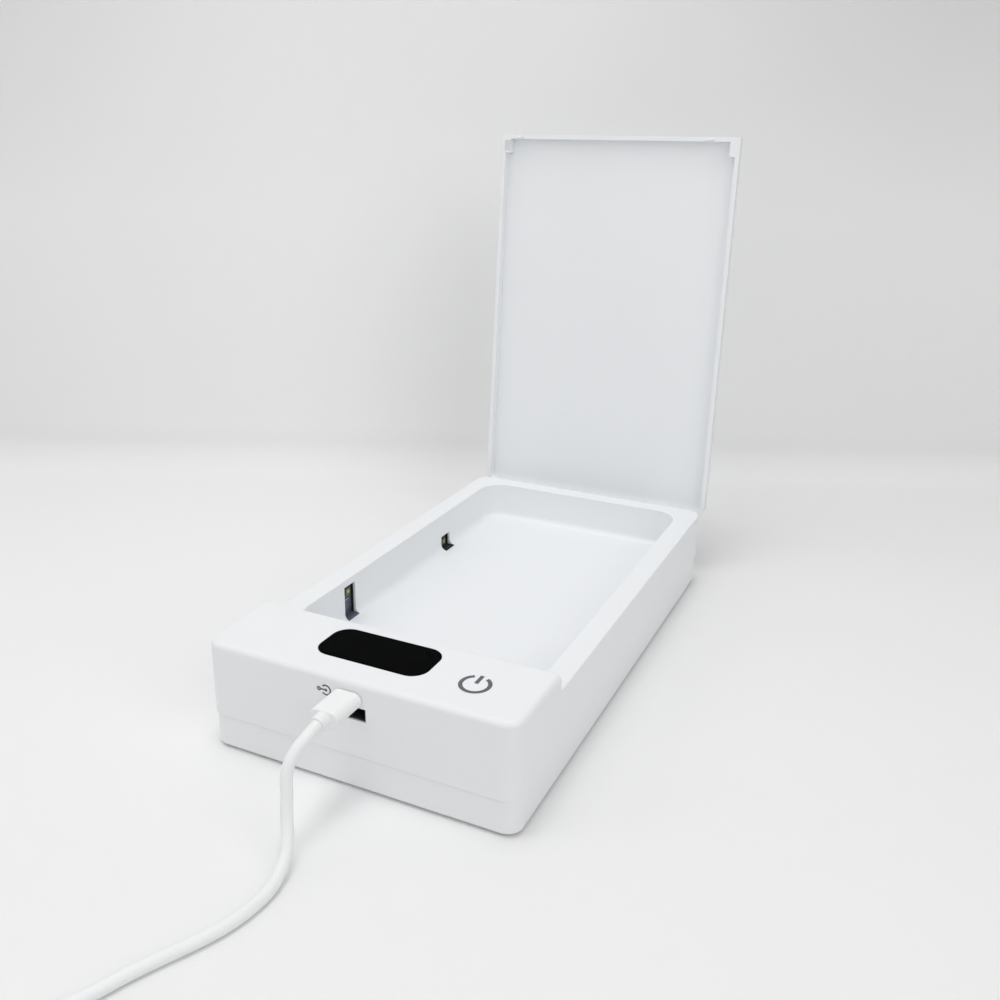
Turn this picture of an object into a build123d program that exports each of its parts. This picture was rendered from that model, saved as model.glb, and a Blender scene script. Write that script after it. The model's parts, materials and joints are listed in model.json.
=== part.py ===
from build123d import *
from math import cos, pi, radians, sin, tan
import os

# A lidded box that disinfects what is laid in its chamber with ultraviolet light. Millimetres.
# X runs to the right, Y from the front face to the hinge, Z up, and Z = 0 is the table.
# The origin is the middle of the footprint that the box covers with its lid open.
# The lid is drawn shut and then turned open about its hinge, the position it is kept in.

# ---- box, lid shut -------------------------------------------------------------------------
body_width = 118.0
body_length = 212.0
shell_height = 40.0        # underside of the bottom cover to the top of the deck
foot_proud = 0.8           # the feet stand this far below the bottom cover
rim_drop = 6.2             # the rim and the lid's edge meet this far below the deck
deck_length = 33.0         # front control deck, front to back
seam_height = 12.5         # bottom cover, from its underside to the seam
corner_radius = 6.0        # upright corners
deck_edge_radius = 2.0
rim_edge_radius = 0.5
wall = 2.0                 # upper housing
deck_plate = 2.5
rim_plate = 2.0

# ---- chamber ---------------------------------------------------------------------------------
side_rim = 9.0             # rim beside the chamber
chamber_depth = 17.3       # rim to floor
rear_rim = 8.0             # rim behind the chamber
front_ledge = 3.0          # rim between the deck and the chamber
chamber_corner = 11.0
floor_blend = 2.8          # radius between walls and floor
chamber_wall = 2.0
fuse_depth = 0.5           # how far a boss, post or rib runs into the plate that carries it
cut_past = 1.0             # how far a cut runs past the face that it opens

# ---- lamp slots in the chamber's side walls: (distance from the front, length, low edge, high edge)
front_slot = (74.2, 7.6, 0.2, 14.4)     # edges above the chamber floor
rear_slot = (154.9, 8.0, -0.2, 6.5)
liner_thickness = 0.4      # dark seal round each slot, in front of the lamp board
liner_set_back = 1.0       # its front edge, behind the chamber's wall

# ---- lid -------------------------------------------------------------------------------------
lid_plate = 2.0
lid_skirt = 2.0
lid_gap = 0.3              # lid edge to rim, shut
lid_front_gap = 0.4        # lid to the deck's rear face
open_angle = 95.0
latch_from_left = 9.9      # middle of the left latch tongue
latch_from_right = 13.6
latch_width = 3.0
latch_reach = 2.6          # below the lid's edge
latch_thickness = 1.2
latch_clearance = 0.4
latch_chamfer = 0.35
corner_pad_width = 4.6     # thickened front corners of the lid
corner_pad_length = 6.5
magnet_size = (3.0, 5.0, 2.2)
magnet_from_skirt = 0.6
magnet_skin = 1.4          # plastic between the magnet and the lid's outer face
sensor_size = (1.6, 4.2, 3.2)
sensor_below_edge = 0.2    # under the lamp board's top edge

# ---- hinge -----------------------------------------------------------------------------------
hinge_below_rim = 5.3
hinge_from_side = 21.0     # middle of a hinge
pin_radius = 1.0
pin_running_clearance = 0.05
barrel_radius = 3.0
barrel_clearance = 0.5
lid_knuckle = 10.0         # width of the lid's knuckle
ear_width = 4.0
knuckle_gap = 0.3
arm_gap = 0.35             # lid's arm to the rear wall
heel_reach = 5.0           # heel that meets the rear wall when the lid is open
heel_gap = 0.45
heel_top = 3.0             # above the hinge, lid shut
arm_above_edge = 0.6       # where the arm steps in over the rim, above the lid's edge
arm_below_deck = 1.6       # top of the arm under the lid's plate
arm_back_below_deck = 4.0
arm_waist = 4.2            # foot of the arm's straight back, above the hinge
arm_back_step = 0.4

# ---- bottom cover and its screws -------------------------------------------------------------
cover_inset = 0.5          # the cover's face lies inside the housing's
cover_wall = 2.0
cover_floor = 2.0
cover_edge_radius = 1.2
lip_height = 2.0
lip_thickness = 1.2
lip_clearance = 0.2
lip_root = 2.5             # how far the lip runs down inside the cover's wall
lip_boss_gap = 0.5
screw_inset = 6.2          # corner screws, from both outer faces
screw_radius = 1.3
screw_head_radius = 2.4
screw_head_height = 1.8
screw_length = 12.0
screw_drive = (0.7, 2.8, 1.1)          # driver recess: width, length, depth
boss_radius = 3.0
boss_step = 0.4            # the cover's bosses are this much wider than the housing's
boss_meeting = 7.2         # height above the cover's underside where the two bosses meet
counterbore_depth = 3.2
counterbore_clearance = 0.3
foot_radius = 4.0
foot_recess = 1.2
foot_clearance = 0.15
foot_chamfer = 0.5

# ---- display, touch key and marks ------------------------------------------------------------
window_width = 41.9
window_length = 18.9
window_radius = 6.1
window_x = -1.2            # middle of the window, from the box's middle
window_thickness = 1.2
window_ledge = 2.0
window_clearance = 0.1
window_from_front = 19.8
display_size = (22.5, 14.0)
display_gap = 0.3          # under the window
key_from_side = 22.3       # middle of the touch key
key_from_front = 15.6
key_ring_radius = 5.45
key_line = 1.4
key_gap_angle = 56.0
key_bar_length = 5.0
key_pad_radius = 5.0
mark_depth = 0.2           # printed marks are let into the surface
mark_from_socket = 8.3     # power-in mark on the front face
mark_above_socket = 0.5
mark_line = 0.6
mark_arc_radius = 1.7
mark_arc_opening = 82.0
mark_ring_radius = 0.5
mark_dot_radius = 0.55
mark_stem = 2.7

# ---- circuit boards --------------------------------------------------------------------------
board_thickness = 1.6
main_board_length = 26.0   # front to back
main_board_side_gap = 8.0  # to the side walls' inner faces
main_board_gap = 0.4       # to the front wall's inner face
board_post_radius = 2.4
board_post_inset = (4.0, 4.0)
board_screw_radius = 1.0
board_screw_length = 5.5
board_screw_head = (1.9, 1.3)          # radius, height
board_screw_drive = (0.5, 2.2, 0.8)
chip_layout = (            # middle across the box, middle behind the board's front edge, size
    (-28.0, 14.0, (12.0, 12.0, 1.7)),
    (-9.0, 13.0, (10.0, 8.0, 1.6)),
    (24.0, 13.0, (8.0, 8.0, 4.0)),
)
buzzer_from_side = 22.0
buzzer_radius = 4.5
buzzer_gap = 0.65          # under the deck's plate
lamp_board_thickness = 1.2
lamp_board_length = 134.0
lamp_board_from_front = 36.5
lamp_board_below_rim = 0.6     # under the rim plate
lamp_board_height = 17.5
clamp_rib_shares = (0.24, 0.56, 0.88)   # along the lamp board
clamp_rib_width = 1.5
clamp_rib_rise = 3.0       # foot of a rib above the lamp board's lower edge
lamp_size = 3.5
lamp_height = 1.3
lamp_below_slot = (1.4, 2.2)            # lamp under the slot's upper edge: front slot, rear slot
lead_radius = 1.0
lead_bend_radius = 3.0
lead_steps = (             # towards the middle, behind the lamp board's front end, under the main board
    (0.0, 24.0, 7.0), (0.0, 12.0, 7.0), (0.0, -1.0, 5.0), (2.0, -11.0, 0.0),
)
lead_board_inset = 8.0     # end of the lead in from the main board's end

# ---- power socket and plug -------------------------------------------------------------------
socket_below_deck = 6.4    # middle of the socket under the top of the deck
socket_x = -0.8            # from the box's middle
socket_outer = (7.9, 2.9)
socket_inner = (7.1, 2.1)
socket_depth = 6.0
socket_lip = 0.4           # set back from the front face
socket_back = 0.4
socket_hole_clearance = 0.25
slot_width = 11.4          # dark slot below the socket
slot_below_socket = (7.5, 2.75)         # its edges under the socket's middle
insert_margin = 1.5
insert_set_back = 0.6      # lining's front edge, from the front face
insert_lining = 0.6
insert_clearance = 0.1     # lining to the slot's edges
insert_depth = 4.0
insert_floor = 1.2
insert_top_gap = 0.3       # under the main board
plug_width = 10.6
plug_height = 5.4
plug_length = 13.0
plug_corner = 2.6
plug_edge_radius = 0.4
plug_gap = 0.3
plug_tip = (6.85, 1.85)
plug_tip_length = 5.6
relief_radius = 2.6
relief_tip_radius = 2.5
relief_droop = 0.25        # share of the drop that its middle lags behind

# ---- cable -----------------------------------------------------------------------------------
cable_diameter = 3.8
bend_share = 0.45          # of the shorter run, taken up by a bend
coil_outer_radius = 26.5
coil_gap_between = 0.6     # clear space from turn to turn
coil_turns_in = 3.0
coil_climb = 0.5           # turns in which the cable climbs to the upper layer
coil_turns_out = 2.75
far_plug_size = (15.5, 26.0, 7.5)
far_plug_corner = 2.2
far_plug_edge_radius = 1.2
far_shell_size = (12.0, 12.0, 4.5)
far_shell_wall = 0.4
far_shell_back = 0.5
far_tongue_thickness = 1.9
far_tongue_side_gap = 0.15
far_tongue_set_back = 0.7
far_neck_length = 7.0
far_neck_radius = 2.7
far_neck_step = 0.3        # neck over the cable, where they meet

# ---- places worked out from the sizes ---------------------------------------------------------
cover_z = foot_proud
seam_z = cover_z + seam_height
deck_z = cover_z + shell_height
rim_z = deck_z - rim_drop
floor_z = rim_z - chamber_depth
lid_edge_z = rim_z + lid_gap
hinge_z = rim_z - hinge_below_rim

lid_length = body_length - deck_length - lid_front_gap
opening = radians(open_angle)
lid_overhang = (deck_z - hinge_z) * sin(opening) - lid_length * cos(opening)
front_y = -(body_length + lid_overhang) / 2
rear_y = front_y + body_length
deck_rear_y = front_y + deck_length
lid_front_y = deck_rear_y + lid_front_gap
chamber_front_y = deck_rear_y + front_ledge
chamber_rear_y = rear_y - rear_rim
hinge_y = rear_y
hinge_axis = Axis((0, hinge_y, hinge_z), (1, 0, 0))

half_width = body_width / 2
chamber_side = half_width - side_rim
chamber_width = 2 * chamber_side
latch_places = (latch_from_left - half_width, half_width - latch_from_right)
hinge_offset = half_width - hinge_from_side
key_x = half_width - key_from_side
mark_x = socket_x - mark_from_socket
window_y = front_y + window_from_front
key_y = front_y + key_from_front
deck_under_z = deck_z - deck_plate
rim_under_z = rim_z - rim_plate
socket_height = deck_z - socket_below_deck
slot_low = socket_height - slot_below_socket[0]
slot_high = socket_height - slot_below_socket[1]
mark_height = socket_height + mark_above_socket
board_top_z = socket_height - socket_outer[1] / 2
board_low_z = board_top_z - board_thickness
board_front_y = front_y + wall + main_board_gap
board_rear_y = board_front_y + main_board_length
board_side = half_width - wall - main_board_side_gap
board_middle_y = (board_front_y + board_rear_y) / 2
lamp_board_side = chamber_side + chamber_wall
lamp_board_top_z = rim_under_z - lamp_board_below_rim
plug_front_y = front_y - plug_gap
plug_rear_y = plug_front_y - plug_length
cable_radius = cable_diameter / 2
coil_pitch = cable_diameter + coil_gap_between
coil_layer_height = cable_diameter + coil_gap_between

parts = {}


def block(x, y, z):
    """A box between two values on each axis."""
    size = (x[1] - x[0], y[1] - y[0], z[1] - z[0])
    return Pos(x[0], y[0], z[0]) * Box(*size, align=(Align.MIN,) * 3)


def rounded_slab(width, y, z, radius):
    """An upright prism with rounded corners, centred on X."""
    plan = RectangleRounded(width, y[1] - y[0], radius)
    return Pos(0, (y[0] + y[1]) / 2, z[0]) * extrude(plan, z[1] - z[0])


def post(x, y, z, radius):
    upright = Cylinder(radius, z[1] - z[0], align=(Align.CENTER, Align.CENTER, Align.MIN))
    return Pos(x, y, z[0]) * upright


def bar_along_x(x, y, z, radius):
    """A round bar parallel to X, between two X values."""
    turned = Rot(0, 90, 0) * Cylinder(radius, x[1] - x[0])
    return Pos((x[0] + x[1]) / 2, y, z) * turned


def group(solids):
    return Compound(children=list(solids))


def both_sides(x):
    return (-x, x)


def corner_places():
    """Middles of the four corner screws, which are also the feet's."""
    return [(x, y) for x in both_sides(half_width - screw_inset)
            for y in (front_y + screw_inset, rear_y - screw_inset)]


# ---- upper housing ----------------------------------------------------------------------------
def outer_form():
    rim_form = rounded_slab(body_width, (front_y, rear_y), (seam_z, rim_z), corner_radius)
    rim_edges = rim_form.edges().group_by(Axis.Z)[-1]
    rim_form = fillet(rim_edges, rim_edge_radius)
    full = rounded_slab(body_width, (front_y, rear_y), (seam_z, deck_z), corner_radius)
    full = fillet(full.edges().group_by(Axis.Z)[-1], deck_edge_radius)
    deck = full & block((-body_width, body_width), (front_y, deck_rear_y), (seam_z, deck_z))
    return rim_form + deck


def inner_space():
    inside = (front_y + wall, rear_y - wall)
    low = rounded_slab(body_width - 2 * wall, inside, (seam_z, rim_under_z), corner_radius - wall)
    high = rounded_slab(body_width - 2 * wall, inside, (seam_z, deck_under_z), corner_radius - wall)
    under_deck = block((-body_width, body_width), (front_y, deck_rear_y - wall), (seam_z, deck_z))
    return low + (high & under_deck)


def chamber_space():
    length = (chamber_front_y, chamber_rear_y)
    space = rounded_slab(chamber_width, length, (floor_z, rim_z + cut_past), chamber_corner)
    return fillet(space.edges().group_by(Axis.Z)[0], floor_blend)


def slot_cut(side, slot):
    """Window in a chamber wall; side is -1 for left and 1 for right."""
    from_front, length, low, high = slot
    reach = sorted((side * lamp_board_side, side * (chamber_side - floor_blend)))
    middle = front_y + from_front
    return block(reach, (middle - length / 2, middle + length / 2), (floor_z + low, floor_z + high))


def latch_slot(x):
    half = latch_width / 2 + latch_clearance
    back = lid_front_y + lid_skirt
    y = (back - latch_thickness - latch_clearance, back + latch_clearance)
    return block((x - half, x + half), y, (rim_under_z - cut_past, rim_z + cut_past))


def hinge_span():
    """Half the width of a hinge station, ears included."""
    return lid_knuckle / 2 + knuckle_gap + ear_width


def hinge_backing(x):
    """Solid behind the pocket in the rear wall, up to the rim plate."""
    half = hinge_span()
    depth = barrel_radius + barrel_clearance + wall
    low = hinge_z - barrel_radius - barrel_clearance - wall
    return block((x - half, x + half), (rear_y - depth, rear_y - wall / 2), (low, rim_under_z))


def hinge_pocket(x):
    half = lid_knuckle / 2 + knuckle_gap
    return bar_along_x((x - half, x + half), hinge_y, hinge_z, barrel_radius + barrel_clearance)


def hinge_ears(x):
    near = lid_knuckle / 2 + knuckle_gap
    far = near + ear_width
    ears = [bar_along_x(sorted((x + side * near, x + side * far)), hinge_y, hinge_z, barrel_radius)
            for side in (-1, 1)]
    return ears[0] + ears[1]


def hinge_bore(x, radius):
    half = hinge_span()
    return bar_along_x((x - half - cut_past, x + half + cut_past), hinge_y, hinge_z, radius)


def board_post_places():
    across = board_side - board_post_inset[0]
    return [(x, y) for x in both_sides(across)
            for y in (board_front_y + board_post_inset[1], board_rear_y - board_post_inset[1])]


def clamp_ribs(side):
    """Ribs on the outer wall that hold a lamp board against the chamber wall."""
    inner = lamp_board_side + lamp_board_thickness
    first = front_y + lamp_board_from_front
    places = [first + lamp_board_length * share for share in clamp_rib_shares]
    x = sorted((side * inner, side * (half_width - wall / 2)))
    z = (lamp_board_top_z - lamp_board_height + clamp_rib_rise, rim_under_z + fuse_depth)
    half = clamp_rib_width / 2
    return [block(x, (y - half, y + half), z) for y in places]


def make_upper_housing():
    shell = outer_form() - inner_space()
    tub = rounded_slab(chamber_width + 2 * chamber_wall,
                       (chamber_front_y - chamber_wall, chamber_rear_y + chamber_wall),
                       (floor_z - chamber_wall, rim_under_z + fuse_depth), chamber_corner + chamber_wall)
    for x in both_sides(hinge_offset):
        shell += hinge_backing(x)
    shell += tub
    for x, y in corner_places():
        top = deck_under_z if y < deck_rear_y else rim_under_z
        shell += post(x, y, (cover_z + boss_meeting, top + fuse_depth), boss_radius)
    shell -= chamber_space()
    for x, y in corner_places():
        shell -= post(x, y, (cover_z + boss_meeting, screw_top_z()), screw_radius)
    for x, y in board_post_places():
        shell += post(x, y, (board_top_z, deck_under_z + fuse_depth), board_post_radius)
        shell -= post(x, y, (board_top_z, board_screw_top_z()), board_screw_radius)
    for side in (-1, 1):
        shell -= slot_cut(side, front_slot) + slot_cut(side, rear_slot)
        for rib in clamp_ribs(side):
            shell += rib
    for x in latch_places:
        shell -= latch_slot(x)
    for x in both_sides(hinge_offset):
        shell += hinge_ears(x)
        shell -= hinge_pocket(x)
        shell -= hinge_bore(x, pin_radius)
    shell -= window_seat()
    shell -= port_cuts()
    shell -= key_symbol() + power_mark()
    return shell


def window_outline(grown):
    width = window_width + 2 * grown
    length = window_length + 2 * grown
    return RectangleRounded(width, length, window_radius + grown)


def window_seat():
    """Recess for the display window and the smaller hole under it."""
    seat = extrude(window_outline(window_clearance), window_thickness + cut_past)
    hole = extrude(window_outline(-window_ledge), deck_plate + cut_past)
    seat = Pos(window_x, window_y, deck_z - window_thickness) * seat
    return seat + Pos(window_x, window_y, deck_under_z - cut_past) * hole


def port_cuts():
    half_w = socket_outer[0] / 2 + socket_hole_clearance
    half_h = socket_outer[1] / 2 + socket_hole_clearance
    through = (front_y - cut_past, front_y + wall)
    x = (socket_x - half_w, socket_x + half_w)
    hole = block(x, through, (socket_height - half_h, socket_height + half_h))
    slot = block((-slot_width / 2, slot_width / 2), through, (slot_low, slot_high))
    return hole + slot


# ---- printed marks ----------------------------------------------------------------------------
def ring_part(radius, line, gap_middle, gap):
    """Flat ring whose gap, in degrees, is centred on the given direction."""
    ring = Circle(radius) - Circle(radius - line)
    if gap <= 0:
        return ring
    reach = radius * 2
    half = radians(gap / 2)
    middle = radians(gap_middle)
    ends = [middle - half, middle, middle + half]
    corners = [(reach * cos(angle), reach * sin(angle)) for angle in ends]
    return ring - make_face(Polyline((0, 0), *corners, close=True))


def key_symbol():
    ring = ring_part(key_ring_radius, key_line, 90, key_gap_angle)
    bar = Pos(0, key_ring_radius - key_bar_length / 2) * Rectangle(key_line, key_bar_length)
    return Pos(key_x, key_y, deck_z - mark_depth) * extrude(ring + bar, mark_depth)


def power_mark():
    arc = ring_part(mark_arc_radius + mark_line / 2, mark_line, 180, mark_arc_opening)
    ring = Pos(-mark_stem, 0) * ring_part(mark_ring_radius + mark_line / 2, mark_line, 0, 0)
    stem_length = mark_stem - mark_ring_radius
    stem = Pos(-stem_length / 2, 0) * Rectangle(stem_length, mark_line)
    sign = arc + ring + stem + Circle(mark_dot_radius)
    face = Plane(origin=(mark_x, front_y, mark_height), x_dir=(1, 0, 0), z_dir=(0, -1, 0))
    return extrude(face * sign, -mark_depth)


# ---- bottom cover -----------------------------------------------------------------------------
def cover_form(extra_inset, z):
    y = (front_y + cover_inset + extra_inset, rear_y - cover_inset - extra_inset)
    radius = corner_radius - cover_inset - extra_inset
    return rounded_slab(body_width - 2 * (cover_inset + extra_inset), y, z, radius)


def make_bottom_cover():
    outside = cover_form(0, (cover_z, seam_z))
    outside = fillet(outside.edges().group_by(Axis.Z)[0], cover_edge_radius)
    cover = outside - cover_form(cover_wall, (cover_z + cover_floor, seam_z))
    lip_out = wall + lip_clearance - cover_inset
    lip_span = (seam_z - lip_root, seam_z + lip_height)
    lip = cover_form(lip_out, lip_span) - cover_form(lip_out + lip_thickness, lip_span)
    for x, y in corner_places():
        lip -= post(x, y, lip_span, boss_radius + lip_boss_gap)
    cover += lip
    for x, y in corner_places():
        cover += post(x, y, (cover_z, cover_z + boss_meeting), boss_radius + boss_step)
    for x, y in corner_places():
        cover -= post(x, y, (cover_z, cover_z + foot_recess), foot_radius + foot_clearance)
        cover -= post(x, y, (cover_z, cover_z + foot_recess + counterbore_depth),
                      screw_head_radius + counterbore_clearance)
        cover -= post(x, y, (cover_z, cover_z + boss_meeting), screw_radius)
    return cover


def screw_seat_z():
    return cover_z + foot_recess + counterbore_depth


def screw_top_z():
    return screw_seat_z() + screw_length


def board_screw_top_z():
    return board_low_z + board_screw_length


def driver_recess(x, y, z, size):
    """Cross-shaped recess that opens downwards at z."""
    width, length, depth = size
    cross = Rectangle(length, width) + Rectangle(width, length)
    return Pos(x, y, z) * extrude(cross, depth)


def make_cover_screws():
    screws = []
    for x, y in corner_places():
        head_low = screw_seat_z() - screw_head_height
        head = post(x, y, (head_low, screw_seat_z()), screw_head_radius)
        shank = post(x, y, (screw_seat_z(), screw_top_z()), screw_radius)
        screws.append(head + shank - driver_recess(x, y, head_low, screw_drive))
    return group(screws)


def make_feet():
    feet = [post(x, y, (0, cover_z + foot_recess), foot_radius) for x, y in corner_places()]
    return group(chamfer(foot.edges().group_by(Axis.Z)[0], foot_chamfer) for foot in feet)


# ---- lid, drawn shut --------------------------------------------------------------------------
def lid_form():
    full = rounded_slab(body_width, (front_y, rear_y), (lid_edge_z, deck_z), corner_radius)
    full = fillet(full.edges().group_by(Axis.Z)[-1], deck_edge_radius)
    return full & block((-body_width, body_width), (lid_front_y, rear_y), (lid_edge_z, deck_z))


def lid_hollow():
    full = rounded_slab(body_width - 2 * lid_skirt, (front_y, rear_y - lid_skirt),
                        (lid_edge_z - cut_past, deck_z - lid_plate), corner_radius - lid_skirt)
    behind = lid_front_y + lid_skirt
    return full & block((-body_width, body_width), (behind, rear_y), (lid_edge_z - cut_past, deck_z))


def lid_arm(x):
    """Arm from the rear skirt down to the hinge, with the heel that stops the lid."""
    half = lid_knuckle / 2
    gap_y = hinge_y + arm_gap
    skirt_y = hinge_y - lid_skirt / 2
    back_y = hinge_y + barrel_radius
    step_y = back_y - arm_back_step
    heel_y = hinge_y + heel_reach
    inner_z = lid_edge_z + arm_above_edge
    top_z = deck_z - arm_below_deck
    heel_z = hinge_z + heel_rise()
    front_line = [(gap_y, hinge_z), (gap_y, inner_z), (skirt_y, inner_z), (skirt_y, top_z)]
    back_line = [(hinge_y, top_z), (back_y, deck_z - arm_back_below_deck), (back_y, hinge_z + arm_waist)]
    heel_line = [(heel_y, hinge_z + heel_top), (heel_y, heel_z), (step_y, heel_z), (step_y, hinge_z)]
    outline = Polyline(*front_line, *back_line, *heel_line, close=True)
    side = Plane(origin=(x - half, 0, 0), x_dir=(0, 1, 0), z_dir=(1, 0, 0))
    arm = extrude(side * make_face(outline), lid_knuckle)
    return arm + bar_along_x((x - half, x + half), hinge_y, hinge_z, barrel_radius)


def heel_rise():
    """Height of the heel's lower face above the hinge, so that it meets the rear wall when open."""
    return heel_reach * sin(opening - pi / 2) + heel_gap


def corner_pad(side):
    x = sorted((side * (half_width - lid_skirt / 2), side * (half_width - corner_pad_width)))
    y = (lid_front_y + lid_skirt / 2, lid_front_y + lid_skirt + corner_pad_length)
    return block(x, y, (lid_edge_z, deck_z - lid_plate / 2))


def magnet_block():
    width, length, height = magnet_size
    x = -half_width + magnet_skin
    y = lid_front_y + lid_skirt + magnet_from_skirt
    return block((x, x + width), (y, y + length), (lid_edge_z, lid_edge_z + height))


def latch_tongue(x):
    back = lid_front_y + lid_skirt
    half = latch_width / 2
    z = (lid_edge_z - latch_reach, lid_edge_z + fuse_depth)
    tongue = block((x - half, x + half), (back - latch_thickness, back), z)
    return chamfer(tongue.edges().filter_by(Axis.X).group_by(Axis.Z)[0], latch_chamfer)


def swing_open(piece):
    return piece.rotate(hinge_axis, -open_angle)


def make_lid():
    lid = lid_form() - lid_hollow()
    for side in (-1, 1):
        lid += corner_pad(side)
        lid += lid_arm(side * hinge_offset)
        lid -= hinge_bore(side * hinge_offset, pin_radius + pin_running_clearance)
    for x in latch_places:
        lid += latch_tongue(x)
    lid -= magnet_block()
    return swing_open(lid)


def make_hinge_pins():
    half = hinge_span()
    places = both_sides(hinge_offset)
    return group(bar_along_x((x - half, x + half), hinge_y, hinge_z, pin_radius) for x in places)


# ---- display, boards and lamps ------------------------------------------------------------------
def make_display_window():
    lens = extrude(window_outline(0), window_thickness)
    return Pos(window_x, window_y, deck_z - window_thickness) * lens


def make_display_module():
    width, length = display_size
    top = deck_z - window_thickness - display_gap
    x = (window_x - width / 2, window_x + width / 2)
    return block(x, (window_y - length / 2, window_y + length / 2), (board_top_z, top))


def make_touch_pad():
    return post(key_x, key_y, (board_top_z, deck_under_z), key_pad_radius)


def make_main_board():
    board = block((-board_side, board_side), (board_front_y, board_rear_y), (board_low_z, board_top_z))
    for x, y in board_post_places():
        board -= post(x, y, (board_low_z, board_top_z), board_screw_radius)
    return board


def make_board_screws():
    screws = []
    head_radius, head_height = board_screw_head
    head_low = board_low_z - head_height
    for x, y in board_post_places():
        head = post(x, y, (head_low, board_low_z), head_radius)
        shank = post(x, y, (board_low_z, board_screw_top_z()), board_screw_radius)
        screws.append(head + shank - driver_recess(x, y, head_low, board_screw_drive))
    return group(screws)


def make_board_chips():
    """Controller, lamp driver and coil on the underside of the main board."""
    chips = []
    for x, behind, size in chip_layout:
        chip = Pos(x, board_front_y + behind, board_low_z - size[2] / 2) * Box(*size)
        chips.append(chip)
    return group(chips)


def make_buzzer():
    x = -half_width + buzzer_from_side
    return post(x, key_y, (board_top_z, deck_under_z - buzzer_gap), buzzer_radius)


def lamp_board_span():
    first = front_y + lamp_board_from_front
    return first, first + lamp_board_length


def make_lamp_board(side):
    x = sorted((side * lamp_board_side, side * (lamp_board_side + lamp_board_thickness)))
    return block(x, lamp_board_span(), (lamp_board_top_z - lamp_board_height, lamp_board_top_z))


def lamp_places():
    """Middle of each lamp: distance from the front, height."""
    places = []
    for slot, below in zip((front_slot, rear_slot), lamp_below_slot):
        middle_z = floor_z + slot[3] - below - lamp_size / 2
        places.append((front_y + slot[0], middle_z))
    return places


def make_lamps(side):
    lamps = []
    for y, z in lamp_places():
        x = sorted((side * lamp_board_side, side * (lamp_board_side - lamp_height)))
        chip = block(x, (y - lamp_size / 2, y + lamp_size / 2), (z - lamp_size / 2, z + lamp_size / 2))
        lamps.append(chip)
    return group(lamps)


def slot_liner(side, slot):
    """Frame between a lamp board and the chamber's wall, with a sill that runs out to the chamber."""
    from_front, length, low, high = slot
    middle = front_y + from_front
    y = (middle - length / 2, middle + length / 2)
    z = (floor_z + low, floor_z + high)
    sides_x = sorted((side * lamp_board_side, side * (chamber_side + liner_set_back)))
    sill_x = sorted((side * lamp_board_side, side * (chamber_side - floor_blend)))
    open_y = (y[0] + liner_thickness, y[1] - liner_thickness)
    frame = block(sides_x, y, z) - block(sides_x, open_y, (z[0], z[1] - liner_thickness))
    sill = block(sill_x, y, (z[0], z[0] + liner_thickness)) - chamber_space()
    return frame + sill


def make_slot_liners(side):
    return group(slot_liner(side, slot) for slot in (front_slot, rear_slot))


def make_lamp_lead(side):
    """Two-core lead from a lamp board to the main board, along the side channel."""
    channel = lamp_board_side + lamp_board_thickness + lead_radius
    start_y = lamp_board_span()[0]
    z = board_low_z - lead_radius
    points = [(side * (channel - inwards), start_y + behind, z - under)
              for inwards, behind, under in lead_steps]
    points.append((side * (board_side - lead_board_inset), board_middle_y, z))
    path = FilletPolyline(*points, radius=lead_bend_radius)
    return sweep_round(path, lead_radius)


def make_lid_sensor():
    """Magnetic switch that sees the lid's magnet through the rim."""
    width, length, height = sensor_size
    outer = lamp_board_side + lamp_board_thickness
    y = lid_front_y + lid_skirt + magnet_from_skirt + magnet_size[1] / 2
    top = lamp_board_top_z - sensor_below_edge
    return block((-outer - width, -outer), (y - length / 2, y + length / 2), (top - height, top))


# ---- socket, slot insert and plug ---------------------------------------------------------------
def make_socket():
    half_w, half_h = socket_outer[0] / 2, socket_outer[1] / 2
    inner_w, inner_h = socket_inner[0] / 2, socket_inner[1] / 2
    y = (front_y + socket_lip, front_y + socket_lip + socket_depth)
    outer_z = (socket_height - half_h, socket_height + half_h)
    inner_z = (socket_height - inner_h, socket_height + inner_h)
    shell = block((socket_x - half_w, socket_x + half_w), y, outer_z)
    return shell - block((socket_x - inner_w, socket_x + inner_w), (y[0], y[1] - socket_back), inner_z)


def make_slot_insert():
    half = slot_width / 2
    back = front_y + wall + insert_depth
    outside = block((-half - insert_margin, half + insert_margin), (front_y + wall, back),
                    (slot_low - insert_margin, board_low_z))
    lining_half = half - insert_clearance
    lining_z = (slot_low + insert_clearance, slot_high - insert_clearance)
    lining = block((-lining_half, lining_half), (front_y + insert_set_back, back), lining_z)
    inner_half = lining_half - insert_lining
    top = min(lining_z[1] - insert_lining, board_low_z - insert_top_gap)
    hollow_z = (lining_z[0] + insert_lining, top)
    hollow = block((-inner_half, inner_half), (front_y, back - insert_floor), hollow_z)
    above_wall = block((-lining_half, lining_half), (front_y + wall, back), (board_low_z, deck_z))
    return outside + lining - above_wall - hollow


def plug_slab(width, height, radius, y, z):
    plane = Plane(origin=(socket_x, y[1], z), x_dir=(1, 0, 0), z_dir=(0, -1, 0))
    return extrude(plane * RectangleRounded(width, height, radius), y[1] - y[0])


def make_plug_body():
    body = plug_slab(plug_width, plug_height, plug_corner, (plug_rear_y, plug_front_y), socket_height)
    return fillet(body.edges().group_by(Axis.Y)[0], plug_edge_radius)


def make_plug_tip():
    width, height = plug_tip
    y = (plug_front_y, plug_front_y + plug_tip_length)
    x = (socket_x - width / 2, socket_x + width / 2)
    return block(x, y, (socket_height - height / 2, socket_height + height / 2))


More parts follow.
